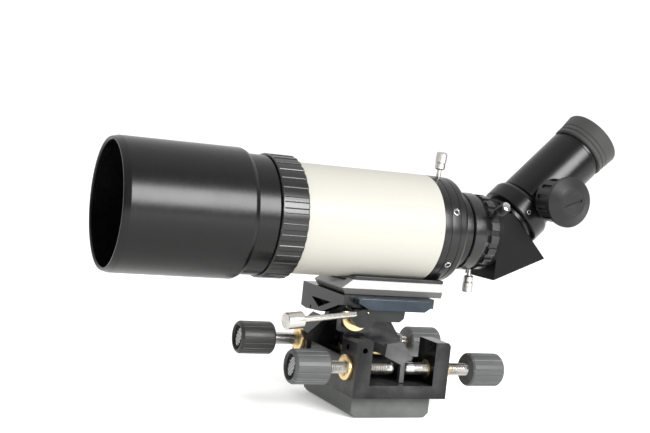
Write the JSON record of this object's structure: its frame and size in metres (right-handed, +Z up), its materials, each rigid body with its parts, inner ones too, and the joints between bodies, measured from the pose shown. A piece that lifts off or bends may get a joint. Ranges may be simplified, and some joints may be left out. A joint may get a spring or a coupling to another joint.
{
  "type": "finder scope",
  "caption": "Refractor finder scope with dew shield, angled erecting prism and lit eyepiece, on a mount with swing and tilt set by opposed knob screws.",
  "frame": {"origin": "centre of the foot block's underside, on the swing axis", "axes": "+Z up; the optical axis runs along X, with the front lens towards -X and the eyepiece towards +X; -Y is the side with the lock lever and the battery cap"},
  "size_m": [0.3571, 0.0967, 0.2058],
  "materials": {
    "black_anodised": "satin black anodised",
    "black_ribbed": "glossy black anodised",
    "ivory_paint": "semi-gloss ivory paint",
    "matt_black": "matt black paint",
    "rubber": "matt rubber",
    "black_plastic": "satin black plastic",
    "glass": "coated optical glass",
    "red_plastic": "clear red",
    "bright_steel": "turned stainless steel",
    "chrome": "polished plating",
    "brass": "turned brass",
    "grey_anodised": "satin dark grey anodised",
    "blue_grey": "satin blue-grey anodised",
    "bright_aluminium": "bright machined",
    "foot_grey": "satin light grey anodised"
  },
  "bodies": {
    "base": {"foot_block": "foot_grey", "swing_base": "grey_anodised", "thrust_ring": "brass", "swing_pin": "bright_steel", "front_bushes": "brass"},
    "yoke": {"azimuth_yoke": "grey_anodised", "azimuth_tongue": "grey_anodised", "rear_bushes": "brass", "tilt_pins": "bright_steel", "lock_washer": "brass"},
    "scope": {"main_tube": "ivory_paint", "front_sleeve": "matt_black", "tube_baffles": "matt_black", "rear_cell": "black_anodised", "rear_cell_screws": "bright_steel", "rear_collar": "black_anodised", "clamp_collar": "black_anodised", "tube_shoe": "grey_anodised", "dovetail_bar": "bright_aluminium", "saddle_bracket": "grey_anodised", "saddle_rail": "blue_grey", "ledge_screws": "bright_steel"},
    "objective": {"dew_shield": "black_anodised", "objective_cell": "black_anodised", "cell_ring": "matt_black", "crown_lens": "glass", "lens_spacer": "matt_black", "flint_lens": "glass"},
    "focus_ring": {"focus_ring": "black_ribbed"},
    "cell_thumb": {"cell_thumb_screw": "chrome"},
    "side_thumb": {"clamp_screw_side": "chrome"},
    "low_thumb": {"clamp_screw_low": "chrome"},
    "far_thumb": {"clamp_screw_far": "chrome"},
    "diagonal": {"diagonal_spigot": "black_anodised", "prism_housing": "matt_black", "housing_covers": "matt_black", "roof_prism": "glass", "eyepiece_socket": "black_anodised"},
    "locking_collar": {"locking_collar": "black_anodised"},
    "eyepiece": {"eyepiece_barrel": "chrome", "eyepiece_body": "black_anodised", "field_lens": "glass", "reticle": "glass", "eye_lens": "glass", "eyecup": "rubber", "lamp_stub": "black_plastic", "lamp": "red_plastic", "battery": "bright_steel"},
    "dial": {"dimmer_dial": "black_plastic"},
    "battery_cap": {"battery_cap": "black_plastic"},
    "lock": {"lock_hub": "grey_anodised", "lock_lever": "bright_steel"},
    "front_left_screw": {"front_left_screw": "bright_steel"},
    "front_left_knob": {"front_left_knob": "grey_anodised"},
    "front_right_screw": {"front_right_screw": "bright_steel"},
    "front_right_knob": {"front_right_knob": "grey_anodised"},
    "rear_left_screw": {"rear_left_screw": "bright_steel"},
    "rear_left_knob": {"rear_left_knob": "grey_anodised"},
    "rear_right_screw": {"rear_right_screw": "bright_steel"},
    "rear_right_knob": {"rear_right_knob": "grey_anodised"}
  },
  "joints": [
    {"name": "azimuth_swing", "type": "hinge", "parent": "base", "child": "yoke", "pos_m": [0, 0, 0.037], "axis": [0, 0, 1], "range_deg": [-4, 4]},
    {"name": "altitude_tilt", "type": "hinge", "parent": "yoke", "child": "scope", "pos_m": [-0.012, 0, 0.0635], "axis": [0, 1, 0], "range_deg": [-4, 4]},
    {"name": "front_left_travel", "type": "slide", "parent": "base", "child": "front_left_screw", "axis": [1, 0, 0], "range_m": [-0.00246, 0.00246]},
    {"name": "front_left_turn", "type": "hinge", "parent": "front_left_screw", "child": "front_left_knob", "pos_m": [-0.058, -0.035, 0.0315], "axis": [1, 0, 0], "range_deg": [-706, 706]},
    {"name": "front_right_travel", "type": "slide", "parent": "base", "child": "front_right_screw", "axis": [1, 0, 0], "range_m": [-0.00246, 0.00246]},
    {"name": "front_right_turn", "type": "hinge", "parent": "front_right_screw", "child": "front_right_knob", "pos_m": [0.0628, -0.035, 0.0315], "axis": [1, 0, 0], "range_deg": [-706, 706]},
    {"name": "rear_left_travel", "type": "slide", "parent": "yoke", "child": "rear_left_screw", "axis": [1, 0, 0], "range_m": [-0.00197, 0.00197]},
    {"name": "rear_left_turn", "type": "hinge", "parent": "rear_left_screw", "child": "rear_left_knob", "pos_m": [-0.0661, 0.035, 0.0355], "axis": [1, 0, 0], "range_deg": [-565, 565]},
    {"name": "rear_right_travel", "type": "slide", "parent": "yoke", "child": "rear_right_screw", "axis": [1, 0, 0], "range_m": [-0.00197, 0.00197]},
    {"name": "rear_right_turn", "type": "hinge", "parent": "rear_right_screw", "child": "rear_right_knob", "pos_m": [0.0561, 0.035, 0.0355], "axis": [1, 0, 0], "range_deg": [-565, 565]},
    {"name": "lock_lever_swing", "type": "hinge", "parent": "yoke", "child": "lock", "pos_m": [-0.0288, -0.036, 0.0624], "axis": [0, 1, 0], "range_deg": [-14, 25]},
    {"name": "focus_ring_turn", "type": "hinge", "parent": "scope", "child": "focus_ring", "pos_m": [-0.079, 0, 0.1185], "axis": [1, 0, 0], "range_deg": [-15, 285]},
    {"name": "focus_travel", "type": "slide", "parent": "scope", "child": "objective", "axis": [1, 0, 0], "range_m": [-0.0081, 0.00045]},
    {"name": "cell_thumb_turn", "type": "hinge", "parent": "scope", "child": "cell_thumb", "pos_m": [0.0347, -0.00446, 0.15825], "axis": [0, -0.1115, 0.9938], "range_deg": [-180, 180]},
    {"name": "side_thumb_turn", "type": "hinge", "parent": "scope", "child": "side_thumb", "pos_m": [0.0696, -0.02425, 0.1325], "axis": [0, -0.866, 0.5], "range_deg": [-180, 180]},
    {"name": "low_thumb_turn", "type": "hinge", "parent": "scope", "child": "low_thumb", "pos_m": [0.0696, 0, 0.0905], "axis": [0, 0, -1], "range_deg": [-180, 180]},
    {"name": "far_thumb_turn", "type": "hinge", "parent": "scope", "child": "far_thumb", "pos_m": [0.0696, 0.02425, 0.1325], "axis": [0, 0.866, 0.5], "range_deg": [-180, 180]},
    {"name": "diagonal_swivel", "type": "hinge", "parent": "scope", "child": "diagonal", "pos_m": [0.071, 0, 0.1185], "axis": [1, 0, 0], "continuous": true},
    {"name": "locking_collar_turn", "type": "hinge", "parent": "diagonal", "child": "locking_collar", "pos_m": [0.09989, 0, 0.13264], "axis": [0.7071, 0, 0.7071], "range_deg": [0, 25]},
    {"name": "eyepiece_slide", "type": "slide", "parent": "diagonal", "child": "eyepiece", "axis": [0.7071, 0, 0.7071], "range_m": [0, 0.014]},
    {"name": "dimmer_turn", "type": "hinge", "parent": "eyepiece", "child": "dial", "pos_m": [0.11311, -0.03, 0.14586], "axis": [0, -1, 0], "range_deg": [0, 270]},
    {"name": "battery_cap_turn", "type": "hinge", "parent": "eyepiece", "child": "battery_cap", "pos_m": [0.11311, -0.04, 0.14586], "axis": [0, -1, 0], "range_deg": [-90, 0]}
  ],
  "couplings": [
    {"joint": "front_left_travel", "follows": "azimuth_swing", "m_per_rad": 0.035},
    {"joint": "front_left_turn", "follows": "azimuth_swing", "ratio": 175.93},
    {"joint": "front_right_travel", "follows": "azimuth_swing", "m_per_rad": 0.035},
    {"joint": "front_right_turn", "follows": "azimuth_swing", "ratio": 175.93},
    {"joint": "rear_left_travel", "follows": "altitude_tilt", "m_per_rad": -0.028},
    {"joint": "rear_left_turn", "follows": "altitude_tilt", "ratio": -140.74},
    {"joint": "rear_right_travel", "follows": "altitude_tilt", "m_per_rad": -0.028},
    {"joint": "rear_right_turn", "follows": "altitude_tilt", "ratio": -140.74},
    {"joint": "focus_travel", "follows": "focus_ring_turn", "m_per_rad": -0.0016083}
  ]
}
